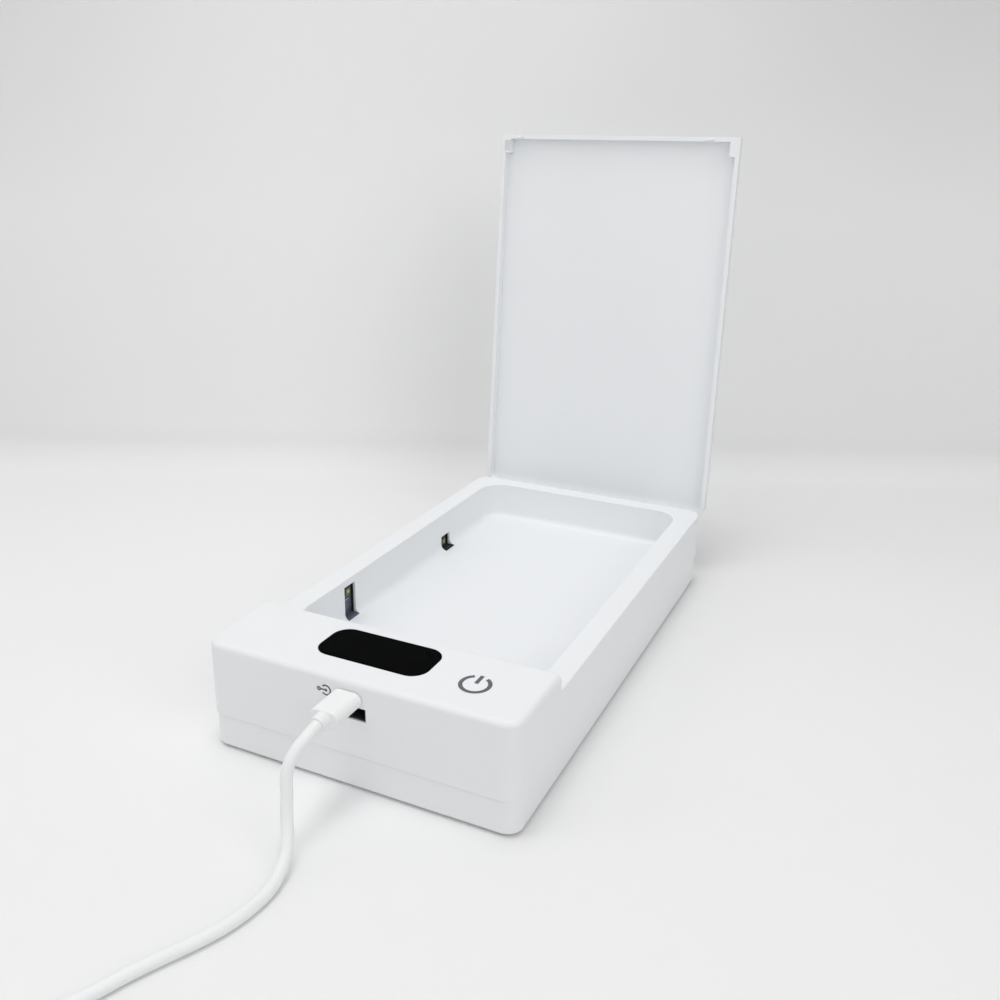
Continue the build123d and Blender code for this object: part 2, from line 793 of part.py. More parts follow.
def make_strain_relief():
    """Tapered sleeve that droops from the plug to the start of the cable's route."""
    first, second = [Vector(*point) for point in from_front(route[:2])]
    root = Vector(socket_x, plug_rear_y, socket_height)
    way = second - first
    middle = (root + first) * 0.5 + Vector(0, 0, (root.Z - first.Z) * relief_droop)
    start_way = Vector(0, -1, 0)
    planes = [Plane(origin=root, z_dir=start_way),
              Plane(origin=middle, z_dir=start_way + way.normalized()),
              Plane(origin=first, z_dir=way)]
    radii = [relief_radius, (relief_radius + relief_tip_radius) / 2, relief_tip_radius]
    return loft([plane * Circle(radius) for plane, radius in zip(planes, radii)])


# ---- cable --------------------------------------------------------------------------------------
# Route from the strain relief to the coil: X, distance from the front face, height
route = [
    (-0.8, -16.4, 34.1), (-0.9, -19.0, 33.6), (-1.2, -21.9, 32.5), (-2.1, -25.0, 30.7),
    (-2.9, -27.9, 27.6), (-2.9, -29.9, 23.5), (-1.7, -31.3, 18.5), (-0.9, -33.1, 13.9),
    (1.0, -35.4, 9.4), (3.2, -39.2, 5.2), (4.4, -44.5, 2.6), (5.4, -50.1, 2.0),
    (4.9, -57.0, 1.9), (3.4, -64.2, 1.9), (0.3, -71.7, 1.9), (-3.9, -79.2, 1.9),
    (-8.6, -88.0, 1.9), (-11.8, -96.1, 1.9), (-15.3, -102.7, 1.9), (-20.5, -113.1, 1.9),
    (-23.5, -122.9, 1.9), (-23.5, -133.0, 1.9),
]


def turn_between(before, middle, after):
    return (Vector(*middle) - Vector(*before)).get_angle(Vector(*after) - Vector(*middle))


def bend_radii(points):
    """Largest arc that each corner's two runs allow."""
    radii = []
    for before, middle, after in zip(points, points[1:], points[2:]):
        runs = [(Vector(*middle) - Vector(*end)).length for end in (before, after)]
        radii.append(bend_share * min(runs) / tan(radians(turn_between(before, middle, after)) / 2))
    return radii


def sweep_round(path, radius):
    start = path @ 0
    section = Plane(origin=start, z_dir=path % 0) * Circle(radius)
    return sweep(section, path=path)


def tube_along(name, points):
    radii = bend_radii(points)
    path = FilletPolyline(*points, radius=radii)
    tube = sweep_round(path, cable_radius)
    section = pi * cable_radius ** 2
    print(f"{name}: length {path.length:.1f}, radii {min(radii):.1f} to {max(radii):.1f},",
          f"volume over section times length {tube.volume / (section * path.length):.4f}")
    return tube


def from_front(points):
    return [(x, front_y + y, z) for x, y, z in points]


def make_cable_run():
    return tube_along("cable run", from_front(route))


def coil_point(turns):
    """Middle of the wound cable after so many turns, relative to the coil's own middle."""
    inner_radius = coil_outer_radius - coil_pitch * coil_turns_in
    climb = (turns - coil_turns_in) / coil_climb
    if climb <= 0:
        radius, height = coil_outer_radius - coil_pitch * turns, 0.0
    elif climb < 1:
        radius = inner_radius - coil_pitch * climb * (1 - climb) / 2
        height = coil_layer_height * (1 - cos(pi * climb)) / 2
    else:
        radius = inner_radius + coil_pitch * (turns - coil_turns_in - coil_climb)
        height = coil_layer_height
    angle = pi + 2 * pi * turns
    return Vector(radius * cos(angle), radius * sin(angle), height)


def coil_total():
    return coil_turns_in + coil_climb + coil_turns_out


def coil_middle():
    """Middle of the coil, whose first turn starts one cable diameter past the end of the route."""
    x, y, z = route[-1]
    return Vector(x + coil_outer_radius, front_y + y - cable_diameter, z)


def coil_heading(turns):
    """Direction of the cable, square to the radius at the two ends."""
    if turns <= 0 or turns >= coil_total():
        angle = pi + 2 * pi * turns
        return Vector(-sin(angle), cos(angle), 0)
    step = 0.02
    return (coil_point(turns + step) - coil_point(turns - step)).normalized()


def biarc(start, start_way, end, end_way):
    """Two tangent arcs from one point and direction to another."""
    chord = end - start
    ways = start_way + end_way
    a = 2 * (1 - start_way.dot(end_way))
    b = 2 * chord.dot(ways)
    c = -chord.dot(chord)
    reach = (-b + (b * b - 4 * a * c) ** 0.5) / (2 * a) if abs(a) > 1e-9 else -c / b
    first_corner = start + start_way * reach
    last_corner = end - end_way * reach
    join = (first_corner + last_corner) * 0.5
    join_way = (last_corner - first_corner).normalized()
    return [TangentArc(start, join, tangent=start_way), TangentArc(join, end, tangent=join_way)]


def make_cable_coil():
    middle = coil_middle()
    steps = round(coil_total() * 4)
    stations = [(middle + coil_point(k / 4), coil_heading(k / 4)) for k in range(steps + 1)]
    first, first_way = stations[0]
    last, last_way = stations[-1]
    edges = [Line(first - first_way * cable_diameter, first)]
    for (start, start_way), (end, end_way) in zip(stations, stations[1:]):
        edges += biarc(start, start_way, end, end_way)
    edges.append(Line(last, last + last_way * cable_diameter))
    path = Wire(edges)
    coil = sweep_round(path, cable_radius)
    section = pi * cable_radius ** 2
    print(f"cable coil: length {path.length:.1f}, least gap to itself {coil_gap(edges):.2f},",
          f"volume over section times length {coil.volume / (section * path.length):.4f}")
    return coil


def coil_gap(edges):
    """Least clear space between turns, on points 1.5 degrees or so apart."""
    spots = []
    travelled = 0.0
    for edge in edges:
        for k in range(30):
            spots.append((travelled + edge.length * k / 30, edge @ (k / 30)))
        travelled += edge.length
    least = travelled
    for k, (here, spot) in enumerate(spots):
        for there, other in spots[k + 1:]:
            if there - here > 4 * cable_diameter:
                least = min(least, (other - spot).length)
    return least - cable_diameter


# Tail's route from the end of the coil: along the cable, outwards, share of the drop to the far plug
tail_steps = [
    (0.0, 0.0, 0.0), (5.5, 0.0, 0.0), (11.5, 0.7, 0.06), (18.0, 2.2, 0.5), (24.5, 4.6, 1.0),
    (30.5, 7.6, 1.0),
]


def tail_points():
    """Free end of the cable, from the coil's top layer down to the far plug."""
    way = coil_heading(coil_total())
    out = Vector(way.Y, -way.X, 0)
    start = coil_middle() + coil_point(coil_total()) + way * cable_diameter
    plug_middle = far_plug_size[2] / 2
    fall = start.Z - plug_middle
    return [tuple(start + way * along + out * aside - Vector(0, 0, fall * share))
            for along, aside, share in tail_steps]


def make_cable_tail():
    return tube_along("cable tail", tail_points())


def far_plug_plane():
    """Plane across the cable's end, where the far plug's neck begins."""
    before, last = [Vector(*point) for point in tail_points()[-2:]]
    way = last - before
    return Plane(origin=last, x_dir=(way.Y, -way.X, 0), z_dir=way)


def make_far_neck():
    taper = Cone(cable_radius + far_neck_step, far_neck_radius, far_neck_length,
                 align=(Align.CENTER, Align.CENTER, Align.MIN))
    return far_plug_plane() * taper


def make_far_plug_body():
    width, length, height = far_plug_size
    body = extrude(RectangleRounded(width, height, far_plug_corner), length)
    body = fillet(body.edges().group_by(Axis.Z)[0], far_plug_edge_radius)
    return far_plug_plane() * (Pos(0, 0, far_neck_length) * body)


def make_far_plug_shell():
    width, length, height = far_shell_size
    start = far_neck_length + far_plug_size[1]
    shell = extrude(Rectangle(width, height), length)
    inside = extrude(Rectangle(width - 2 * far_shell_wall, height - 2 * far_shell_wall), length)
    shell -= Pos(0, 0, far_shell_back) * inside
    return far_plug_plane() * (Pos(0, 0, start) * shell)


def make_far_plug_tongue():
    width, length, height = far_shell_size
    start = far_neck_length + far_plug_size[1] + far_shell_back
    drop = height / 2 - far_shell_wall - far_tongue_thickness / 2
    tongue_width = width - 2 * (far_shell_wall + far_tongue_side_gap)
    tongue_length = length - far_shell_back - far_tongue_set_back
    tongue = extrude(Rectangle(tongue_width, far_tongue_thickness), tongue_length)
    return far_plug_plane() * (Pos(0, drop, start) * tongue)


# ---- build and write ------------------------------------------------------------------------------
def build():
    parts["upper_housing"] = make_upper_housing()
    parts["bottom_cover"] = make_bottom_cover()
    parts["cover_screws"] = make_cover_screws()
    parts["rubber_feet"] = make_feet()
    parts["lid_shell"] = make_lid()
    parts["lid_magnet"] = swing_open(magnet_block())
    parts["hinge_pins"] = make_hinge_pins()
    parts["display_window"] = make_display_window()
    parts["display_module"] = make_display_module()
    parts["touch_key_symbol"] = key_symbol()
    parts["touch_pad"] = make_touch_pad()
    parts["power_in_mark"] = power_mark()
    parts["main_board"] = make_main_board()
    parts["board_screws"] = make_board_screws()
    parts["board_chips"] = make_board_chips()
    parts["buzzer"] = make_buzzer()
    parts["lid_sensor"] = make_lid_sensor()
    for side, name in ((-1, "left"), (1, "right")):
        parts[f"lamp_board_{name}"] = make_lamp_board(side)
        parts[f"uv_lamps_{name}"] = make_lamps(side)
        parts[f"slot_liners_{name}"] = make_slot_liners(side)
        parts[f"lamp_lead_{name}"] = make_lamp_lead(side)
    parts["power_socket"] = make_socket()
    parts["slot_insert"] = make_slot_insert()
    parts["plug_body"] = make_plug_body()
    parts["plug_tip"] = make_plug_tip()
    parts["strain_relief"] = make_strain_relief()
    parts["cable_run"] = make_cable_run()
    parts["cable_coil"] = make_cable_coil()
    parts["cable_tail"] = make_cable_tail()
    parts["far_plug_neck"] = make_far_neck()
    parts["far_plug_body"] = make_far_plug_body()
    parts["far_plug_shell"] = make_far_plug_shell()
    parts["far_plug_tongue"] = make_far_plug_tongue()


def write():
    os.makedirs("parts", exist_ok=True)
    for name, solid in parts.items():
        export_step(solid, f"parts/{name}.step")


build()
write()
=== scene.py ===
import json
import math

import bmesh
import bpy
from mathutils import Matrix, Vector


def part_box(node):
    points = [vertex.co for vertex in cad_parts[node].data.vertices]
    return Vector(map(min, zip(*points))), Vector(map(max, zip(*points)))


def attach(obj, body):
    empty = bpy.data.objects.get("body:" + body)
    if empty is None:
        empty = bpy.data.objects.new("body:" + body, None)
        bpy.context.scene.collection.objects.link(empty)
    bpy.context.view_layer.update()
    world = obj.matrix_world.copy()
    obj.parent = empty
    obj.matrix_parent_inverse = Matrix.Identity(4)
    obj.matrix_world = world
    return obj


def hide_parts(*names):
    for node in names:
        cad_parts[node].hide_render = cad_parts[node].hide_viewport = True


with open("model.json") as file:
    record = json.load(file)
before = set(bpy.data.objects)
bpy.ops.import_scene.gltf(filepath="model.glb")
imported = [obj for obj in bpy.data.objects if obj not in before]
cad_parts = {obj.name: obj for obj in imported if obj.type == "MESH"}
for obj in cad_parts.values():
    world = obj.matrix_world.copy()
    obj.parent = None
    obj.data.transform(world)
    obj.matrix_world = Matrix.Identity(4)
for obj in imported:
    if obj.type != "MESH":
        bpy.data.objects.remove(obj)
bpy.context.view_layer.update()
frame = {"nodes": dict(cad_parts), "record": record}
nodes = frame["nodes"]
mm = 0.001

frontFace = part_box("upper_housing")[0].y


def feed(tree, socket, value):
    # links another node's output, or sets a constant
    if isinstance(value, bpy.types.NodeSocket):
        tree.links.new(value, socket)
    else:
        socket.default_value = value


def addNode(tree, kind, inputs=None, **settings):
    node = tree.nodes.new(kind)
    for key, value in settings.items():
        setattr(node, key, value)
    for key, value in (inputs or {}).items():
        feed(tree, node.inputs[key], value)
    return node


def calculate(tree, operation, *values):
    return addNode(tree, "ShaderNodeMath", dict(enumerate(values)), operation=operation).outputs[0]


def remap(tree, value, fromRange=(0, 1), toRange=(0, 1), curve="LINEAR"):
    node = addNode(tree, "ShaderNodeMapRange", {
        "Value": value, "From Min": fromRange[0], "From Max": fromRange[1],
        "To Min": toRange[0], "To Max": toRange[1]}, interpolation_type=curve)
    return node.outputs[0]


def blendColours(tree, factor, first, second):
    # of the mix node's many sockets, 0, 6 and 7 are the factor and the two colours
    node = addNode(tree, "ShaderNodeMix", {0: factor, 6: first, 7: second}, data_type="RGBA")
    return node.outputs[2]


def scaleColour(tree, colour, factor):
    node = addNode(tree, "ShaderNodeVectorMath", {0: colour, "Scale": factor}, operation="SCALE")
    return node.outputs[0]


def addNoise(tree, place, scale, detail):
    node = addNode(tree, "ShaderNodeTexNoise", {"Vector": place, "Scale": scale, "Detail": detail})
    return node.outputs["Fac"]


def objectPlace(tree):
    return addNode(tree, "ShaderNodeTexCoord").outputs["Object"]


def linkObject(piece):
    bpy.context.scene.collection.objects.link(piece)
    return piece


cameraView = {
    "place": (158.614, -344.904, 203.789),   # mm
    "yaw": 24.6046,                          # degrees, to the left of straight back
    "pitch": 17.6083,                        # down
    "roll": 0.850,
    "lens": 35.096,
    "sensor": 36,
    "shift": (-0.01216, -0.0497),
    "nearClip": 10,
}


def makeCamera(s):
    yaw, pitch, roll = (math.radians(s[key]) for key in ("yaw", "pitch", "roll"))
    flat = math.cos(pitch)
    ahead = Vector((-math.sin(yaw) * flat, math.cos(yaw) * flat, -math.sin(pitch)))
    level = Vector((math.cos(yaw), math.sin(yaw), 0))
    upright = level.cross(ahead)
    side = level * math.cos(roll) + upright * math.sin(roll)
    up = upright * math.cos(roll) - level * math.sin(roll)
    data = bpy.data.cameras.new("camera")
    data.sensor_width = s["sensor"]
    data.lens = s["lens"]
    data.shift_x, data.shift_y = s["shift"]
    data.clip_start = s["nearClip"] * mm
    camera = linkObject(bpy.data.objects.new("camera", data))
    turn = Matrix((side, up, -ahead)).transposed().to_4x4()
    camera.matrix_world = Matrix.Translation(Vector(s["place"]) * mm) @ turn
    bpy.context.scene.camera = camera


makeCamera(cameraView)
print("camera placed")

cable = {
    "diameter": 3.8,             # mm, as all sizes in the pieces' dictionaries
    "coilOuterRadius": 26.5,
    "coilPitch": 4.4,            # turn to turn, and layer to layer
    "turnsIn": 3.0,
    "climb": 0.5,
    "turnsOut": 2.75,
    "pointsPerTurn": 16,
    "length": 932,
    # along the end of the coil, outwards, share of the drop to the far plug
    "tail": [(5.5, 0.0, 0.0), (11.5, 0.7, 0.06), (18.0, 2.2, 0.5), (24.5, 4.6, 1.0),
             (30.5, 7.6, 1.0)],
    "farPlugMiddle": 3.75,       # height
    "splineOrder": 3,
    "ringsPerPoint": 8,
    "roundSteps": 6,
}
# X, distance from the front face, height, in metres
cableRoute = [
    (-0.0008, -0.0164, 0.0341), (-0.0009, -0.0190, 0.0336), (-0.0012, -0.0219, 0.0325),
    (-0.0021, -0.0250, 0.0307), (-0.0029, -0.0279, 0.0276), (-0.0029, -0.0299, 0.0235),
    (-0.0017, -0.0313, 0.0185), (-0.0009, -0.0331, 0.0139), (0.0010, -0.0354, 0.0094),
    (0.0032, -0.0392, 0.0052), (0.0044, -0.0445, 0.0026), (0.0054, -0.0501, 0.0020),
    (0.0049, -0.0570, 0.0019), (0.0034, -0.0642, 0.0019), (0.0003, -0.0717, 0.0019),
    (-0.0039, -0.0792, 0.0019), (-0.0086, -0.0880, 0.0019), (-0.0118, -0.0961, 0.0019),
    (-0.0153, -0.1027, 0.0019), (-0.0205, -0.1131, 0.0019), (-0.0235, -0.1229, 0.0019),
    (-0.0235, -0.1330, 0.0019),
]


def coilPoints(s):
    # spirals in, climbs a layer and spirals out again
    first = Vector(cableRoute[-1])
    radius, pitch = s["coilOuterRadius"] * mm, s["coilPitch"] * mm
    middle = Vector((first.x + radius, frontFace + first.y - s["diameter"] * mm, first.z))
    inner = radius - pitch * s["turnsIn"]
    total = s["turnsIn"] + s["climb"] + s["turnsOut"]
    count = round(total * s["pointsPerTurn"])
    spread = 1 / math.cos(math.pi / s["pointsPerTurn"])   # control points stand outside the curve
    points = []
    for k in range(count + 1):
        turns = total * k / count
        climb = (turns - s["turnsIn"]) / s["climb"]
        if climb <= 0:
            reach, height = radius - pitch * turns, 0
        elif climb < 1:
            reach = inner - pitch * climb * (1 - climb) / 2
            height = pitch * (1 - math.cos(math.pi * climb)) / 2
        else:
            reach, height = inner + pitch * (turns - s["turnsIn"] - s["climb"]), pitch
        angle = math.pi + 2 * math.pi * turns
        if k < count:
            reach *= spread
        points.append(middle + Vector((reach * math.cos(angle), reach * math.sin(angle), height)))
    heading = Vector((-math.sin(angle), math.cos(angle), 0))
    return points, heading


def tailPoints(s, end, heading):
    outwards = Vector((heading.y, -heading.x, 0))
    start = end + heading * s["diameter"] * mm
    fall = end.z - s["farPlugMiddle"] * mm
    return [start + (heading * along + outwards * aside) * mm - Vector((0, 0, fall * share))
            for along, aside, share in s["tail"]]


def makeCable(s):
    points = [Vector((x, frontFace + y, z)) for x, y, z in cableRoute]
    coil, heading = coilPoints(s)
    points += coil + tailPoints(s, coil[-1], heading)
    curve = bpy.data.curves.new("cable", "CURVE")
    curve.dimensions = "3D"
    spline = curve.splines.new("NURBS")
    spline.points.add(len(points) - 1)
    for point, place in zip(spline.points, points):
        point.co = (*place, 1)
        point.radius = s["diameter"] / 2 * mm
    spline.order_u = s["splineOrder"]
    spline.use_endpoint_u = True
    spline.resolution_u = s["ringsPerPoint"]
    curve.bevel_depth = 1.0      # the points' radius is the true one, which keeps bounding boxes true
    curve.bevel_resolution = s["roundSteps"]
    curve.use_fill_caps = True
    return linkObject(bpy.data.objects.new("cable", curve))


cablePiece = makeCable(cable)
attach(cablePiece, "base")
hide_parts("cable_run", "cable_coil", "cable_tail")
print("cable laid")

plainGrey = (0.8, 0.8, 0.8, 1)   # where each material gives its own colour


def newGroup(name, inputs, outputs):
    # an input is a colour where its value is a tuple, else a number
    group = bpy.data.node_groups.new(name, "ShaderNodeTree")
    for title, value in inputs.items():
        kind = "NodeSocketColor" if isinstance(value, tuple) else "NodeSocketFloat"
        group.interface.new_socket(title, in_out="INPUT", socket_type=kind).default_value = value
    for title, kind in outputs.items():
        group.interface.new_socket(title, in_out="OUTPUT", socket_type="NodeSocket" + kind)
    return group, addNode(group, "NodeGroupInput").outputs, addNode(group, "NodeGroupOutput").inputs


skin = {
    "cloud": (24, 4),            # soft mottling: scale, detail
    "cloudMiddle": 0.5,
    "smear": (90, 3),            # uneven polish: scale, detail
    "smearRange": (0.3, 0.7),
    "polish": (0.9, 1.12),
    "grainDetail": 2,
    "edgeSamples": 6,
    "paintedEdgeHighlight": (0.995, 0.9),        # cosine of the lean at which the painted edge highlight starts, and is full
}


def makeMouldedSkin(s):
    # mottling, uneven polish, moulded grain and slightly rounded edges, with a painted highlight on
    # the edges
    group, given, result = newGroup(
        "mouldedSkin",
        {"Colour": plainGrey, "Variation": 0.02, "Roughness": 0.4, "Grain Per Metre": 4000,
         "Grain Height": 0.00001, "Edge": 0.0003, "Edge Highlight Colour": plainGrey},
        {"Colour": "Color", "Roughness": "Float", "Normal": "Vector"})
    place = objectPlace(group)
    shade = calculate(group, "SUBTRACT", addNoise(group, place, *s["cloud"]), s["cloudMiddle"])
    shade = calculate(group, "MULTIPLY", shade, given["Variation"])
    shade = calculate(group, "ADD", shade, 1)
    polish = remap(group, addNoise(group, place, *s["smear"]), s["smearRange"], s["polish"])
    grain = addNoise(group, place, given["Grain Per Metre"], s["grainDetail"])
    rounded = addNode(group, "ShaderNodeBevel", {"Radius": given["Edge"]}, samples=s["edgeSamples"])
    bump = addNode(group, "ShaderNodeBump", {
        "Height": grain, "Distance": given["Grain Height"], "Normal": rounded.outputs[0]})
    flat = addNode(group, "ShaderNodeNewGeometry").outputs["Normal"]
    lean = addNode(group, "ShaderNodeVectorMath", {0: flat, 1: rounded.outputs[0]},
                   operation="DOT_PRODUCT")
    # painted highlight: the edges turn to the lighter edge colour where the rounded normal leans away
    paintedEdgeHighlight = remap(group, lean.outputs["Value"], s["paintedEdgeHighlight"])
    colour = blendColours(group, paintedEdgeHighlight, given["Colour"], given["Edge Highlight Colour"])
    feed(group, result["Colour"], scaleColour(group, colour, shade))
    feed(group, result["Roughness"], calculate(group, "MULTIPLY", polish, given["Roughness"]))
    feed(group, result["Normal"], bump.outputs[0])
    return group


dustSpecks = {
    "perMetre": 900,
    "size": 0.06,                # of a cell
    "patches": (60, 3),          # scale, detail
    "patchRange": (0.45, 0.65),
}


def makeDust(s):
    # a few settled specks, in loose patches
    group, given, result = newGroup(
        "dust", {"Per Metre": s["perMetre"], "Size": s["size"], "Amount": 0.3}, {"Mask": "Float"})
    place = objectPlace(group)
    cells = addNode(group, "ShaderNodeTexVoronoi", {"Vector": place, "Scale": given["Per Metre"]})
    speck = calculate(group, "LESS_THAN", cells.outputs["Distance"], given["Size"])
    near = remap(group, addNoise(group, place, *s["patches"]), s["patchRange"])
    mask = calculate(group, "MULTIPLY", speck, near)
    feed(group, result["Mask"], calculate(group, "MULTIPLY", mask, given["Amount"]))
    return group


drawnLines = {"detail": 3, "lineRange": (0.3, 0.7), "polish": (0.8, 1.25)}


def makeStreaks(s):
    # fine drawn lines along X, for plated and brushed metal
    group, given, result = newGroup(
        "streaks",
        {"Per Metre": 3000, "Stretch": 0.04, "Dark": plainGrey, "Light": plainGrey,
         "Roughness": 0.25},
        {"Colour": "Color", "Roughness": "Float", "Height": "Float"})
    squeezed = addNode(group, "ShaderNodeCombineXYZ", {"X": given["Stretch"], "Y": 1.0, "Z": 1.0})
    drawn = addNode(group, "ShaderNodeVectorMath", {0: objectPlace(group), 1: squeezed.outputs[0]},
                    operation="MULTIPLY")
    lines = addNoise(group, drawn.outputs[0], given["Per Metre"], s["detail"])
    polish = remap(group, lines, s["lineRange"], s["polish"])
    feed(group, result["Colour"], blendColours(group, lines, given["Dark"], given["Light"]))
    feed(group, result["Roughness"], calculate(group, "MULTIPLY", polish, given["Roughness"]))
    feed(group, result["Height"], lines)
    return group


copperRuns = {
    "width": 0.07,               # of a brick of the pattern
    "softness": 0.1,
    "breaks": (160, 2),          # scale, detail
    "breakAt": 0.5,
}


def makeTraces(s):
    # copper runs under a board's mask, on a grid with breaks
    group, given, result = newGroup(
        "traces", {"Per Metre": 700, "Mask Colour": plainGrey, "Run Colour": plainGrey},
        {"Colour": "Color", "Height": "Float"})
    place = objectPlace(group)
    bricks = addNode(group, "ShaderNodeTexBrick", {
        "Vector": place, "Scale": given["Per Metre"], "Mortar Size": s["width"],
        "Mortar Smooth": s["softness"]})
    kept = calculate(group, "GREATER_THAN", addNoise(group, place, *s["breaks"]), s["breakAt"])
    runs = calculate(group, "MULTIPLY", bricks.outputs["Fac"], kept)
    feed(group, result["Colour"], blendColours(group, runs, given["Mask Colour"], given["Run Colour"]))
    feed(group, result["Height"], runs)
    return group


mouldedSkin, dust = makeMouldedSkin(skin), makeDust(dustSpecks)
streaks, traces = makeStreaks(drawnLines), makeTraces(copperRuns)


def placeGroup(tree, group, inputs):
    return addNode(tree, "ShaderNodeGroup", inputs, node_tree=group)


def startMaterial(name, fixed):
    material = bpy.data.materials.new(name)
    material.use_nodes = True
    tree = material.node_tree
    shader = tree.nodes["Principled BSDF"]
    for key, value in fixed.items():
        shader.inputs[key].default_value = value
    return material, tree, shader


def linear(value):
    share = value / 255
    return share / 12.92 if share <= 0.04045 else ((share + 0.055) / 1.055) ** 2.4


def shadeOf(red, green=None, blue=None):
    # linear colour from display values of 0 to 255; one value alone is a grey
    green = red if green is None else green
    blue = red if blue is None else blue
    return (linear(red), linear(green), linear(blue), 1)


def makePlastic(name, s):
    material, tree, shader = startMaterial(name, s.get("fixed", {}))
    coat = placeGroup(tree, mouldedSkin, {
        "Colour": shadeOf(*s["colour"]), "Variation": s["variation"], "Roughness": s["roughness"],
        "Grain Per Metre": s["grain"], "Grain Height": s["depth"] * mm, "Edge": s["edge"] * mm,
        "Edge Highlight Colour": shadeOf(*s.get("edgeHighlightColour", s["colour"]))})
    colour, rough = coat.outputs["Colour"], coat.outputs["Roughness"]
    if "dust" in s:
        specks = placeGroup(tree, dust, {"Amount": s["dust"]}).outputs["Mask"]
        colour = blendColours(tree, specks, colour, shadeOf(*s["dustColour"]))
        rough = calculate(tree, "MAXIMUM", rough, specks)
    feed(tree, shader.inputs["Base Color"], colour)
    feed(tree, shader.inputs["Roughness"], rough)
    feed(tree, shader.inputs["Normal"], coat.outputs["Normal"])
    return material


def makeMetal(name, s):
    material, tree, shader = startMaterial(name, {"Metallic": 1.0})
    lines = placeGroup(tree, streaks, {
        "Per Metre": s["lines"], "Stretch": s["stretch"], "Dark": shadeOf(*s["dark"]),
        "Light": shadeOf(*s["light"]), "Roughness": s["roughness"]})
    bump = addNode(tree, "ShaderNodeBump", {
        "Height": lines.outputs["Height"], "Distance": s["depth"] * mm})
    feed(tree, shader.inputs["Base Color"], lines.outputs["Colour"])
    feed(tree, shader.inputs["Roughness"], lines.outputs["Roughness"])
    feed(tree, shader.inputs["Normal"], bump.outputs[0])
    return material


def makeBoard(name, s):
    material, tree, shader = startMaterial(name, {"Roughness": s["roughness"]})
    copper = placeGroup(tree, traces, {
        "Per Metre": s["runs"], "Mask Colour": shadeOf(*s["mask"]), "Run Colour": shadeOf(*s["run"])})
    bump = addNode(tree, "ShaderNodeBump", {
        "Height": copper.outputs["Height"], "Distance": s["depth"] * mm})
    feed(tree, shader.inputs["Base Color"], copper.outputs["Colour"])
    feed(tree, shader.inputs["Normal"], bump.outputs[0])
    return material


# colours are display values of 0 to 255, grain and lines are counts per metre
plastics = {
    # the lighter edge colour paints a highlight along the shell's edges
    "shellPlastic": {"colour": (239, 241, 243), "edgeHighlightColour": (243, 245, 247), "variation": 0.02,
                     "roughness": 0.42, "grain": 3500, "depth": 0.006, "edge": 0.3,
                     "dust": 0.12, "dustColour": (206, 205, 202)},
    "plugPlastic": {"colour": (242, 243, 243), "variation": 0.02, "roughness": 0.42,
                    "grain": 3500, "depth": 0.006, "edge": 0.25},
    "cableJacket": {"colour": (241, 243, 243), "variation": 0.03, "roughness": 0.45,
                    "grain": 2500, "depth": 0.008, "edge": 0.05},
    "printedInk": {"colour": (90, 93, 98), "variation": 0.08, "roughness": 0.5, "grain": 6000,
                   "depth": 0.004, "edge": 0.05},
    "windowBlack": {"colour": (7, 8, 8), "variation": 0.2, "roughness": 0.3, "grain": 400,
                    "depth": 0.0005, "edge": 0.15, "dust": 0.05, "dustColour": (60, 60, 60),
                    "fixed": {"Specular IOR Level": 0.004}},
    "displayDark": {"colour": (20, 20, 23), "variation": 0.2, "roughness": 0.5, "grain": 2500,
                    "depth": 0.005, "edge": 0.15},
    "sealBlack": {"colour": (11, 11, 12), "variation": 0.25, "roughness": 0.75, "grain": 2600,
                  "depth": 0.01, "edge": 0.1},
    "chipBlack": {"colour": (26, 26, 28), "variation": 0.2, "roughness": 0.45, "grain": 5200,
                  "depth": 0.006, "edge": 0.1},
    "footRubber": {"colour": (46, 46, 47), "variation": 0.2, "roughness": 0.8, "grain": 2500,
                   "depth": 0.03, "edge": 0.2},
    "padRubber": {"colour": (38, 38, 39), "variation": 0.3, "roughness": 0.85, "grain": 1800,
                  "depth": 0.06, "edge": 0.3},
    # the lighter edge colour paints a highlight along the package's edges
    "lampCeramic": {"colour": (52, 51, 40), "edgeHighlightColour": (96, 92, 60), "variation": 0.3,
                    "roughness": 0.45, "grain": 2500, "depth": 0.01, "edge": 0.1},
    "lampCup": {"colour": (126, 121, 58), "variation": 0.6, "roughness": 0.3, "grain": 1500,
                "depth": 0.02, "edge": 0.05},
    "magnetCoat": {"colour": (216, 216, 216), "variation": 0.04, "roughness": 0.3, "grain": 3000,
                   "depth": 0.003, "edge": 0.15},
    "leadBlack": {"colour": (30, 30, 31), "variation": 0.15, "roughness": 0.5, "grain": 2500,
                  "depth": 0.01, "edge": 0.05},
}
metals = {
    "zincSteel": {"lines": 2600, "stretch": 0.3, "dark": (160, 162, 166), "light": (214, 215, 218),
                  "roughness": 0.3, "depth": 0.004},
    "socketSteel": {"lines": 3600, "stretch": 0.05, "dark": (165, 167, 170),
                    "light": (216, 217, 219), "roughness": 0.28, "depth": 0.003},
    "goldPlate": {"lines": 3600, "stretch": 0.1, "dark": (205, 164, 88), "light": (236, 203, 132),
                  "roughness": 0.25, "depth": 0.002},
    "solderTin": {"lines": 3000, "stretch": 0.8, "dark": (150, 152, 160), "light": (205, 207, 214),
                  "roughness": 0.35, "depth": 0.01},
}
boards = {
    "boardGreen": {"runs": 500, "mask": (14, 84, 50), "run": (34, 116, 72), "depth": 0.02,
                   "roughness": 0.35},
    "boardBlue": {"runs": 620, "mask": (66, 72, 88), "run": (92, 98, 112), "depth": 0.02,
                  "roughness": 0.35},
}
sill = {
    "colour": (84, 90, 106),
    "height": 0.85,              # over the liners' lowest edge
    "rear": -20,                 # only in front of this Y, so on the front slots alone
}


